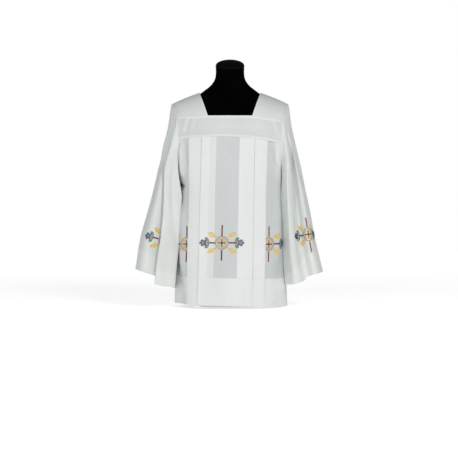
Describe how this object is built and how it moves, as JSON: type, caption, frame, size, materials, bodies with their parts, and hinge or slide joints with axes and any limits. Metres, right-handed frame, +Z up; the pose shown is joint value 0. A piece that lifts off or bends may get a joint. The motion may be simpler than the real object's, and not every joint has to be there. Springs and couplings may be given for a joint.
{
  "type": "surplice on a limbless dress form",
  "caption": "Short white surplice with a square neckline, pleated body, bell sleeves and embroidered motifs, worn by a black dress form that stands on its own base.",
  "frame": {"origin": "centre of the dress form's flat base, on the surface it stands on", "axes": "+Z up, -Y to the wearer's front, +X to the wearer's left"},
  "size_m": [0.752, 0.3817, 0.9882],
  "materials": {
    "white_cloth": "thin plain-weave cotton blend, white, slightly see-through, with embroidered motifs",
    "yoke_cloth": "two layers of the same white cloth with felled seams",
    "sleeve_cloth": "thin plain-weave white cloth, slightly see-through, with embroidered motifs",
    "form_jersey": "black jersey cover, smooth and matt",
    "form_cap": "black covered neck cap, a little smoother than the body"
  },
  "bodies": {
    "root": {"dress_form_torso": "form_jersey", "dress_form_neck_cap": "form_cap", "front_panel": "white_cloth", "back_panel": "white_cloth", "yoke_front_band": "yoke_cloth", "yoke_back_band": "yoke_cloth", "yoke_left_shoulder": "yoke_cloth", "yoke_right_shoulder": "yoke_cloth", "sleeve_left": "sleeve_cloth", "sleeve_right": "sleeve_cloth"}
  },
  "joints": []
}
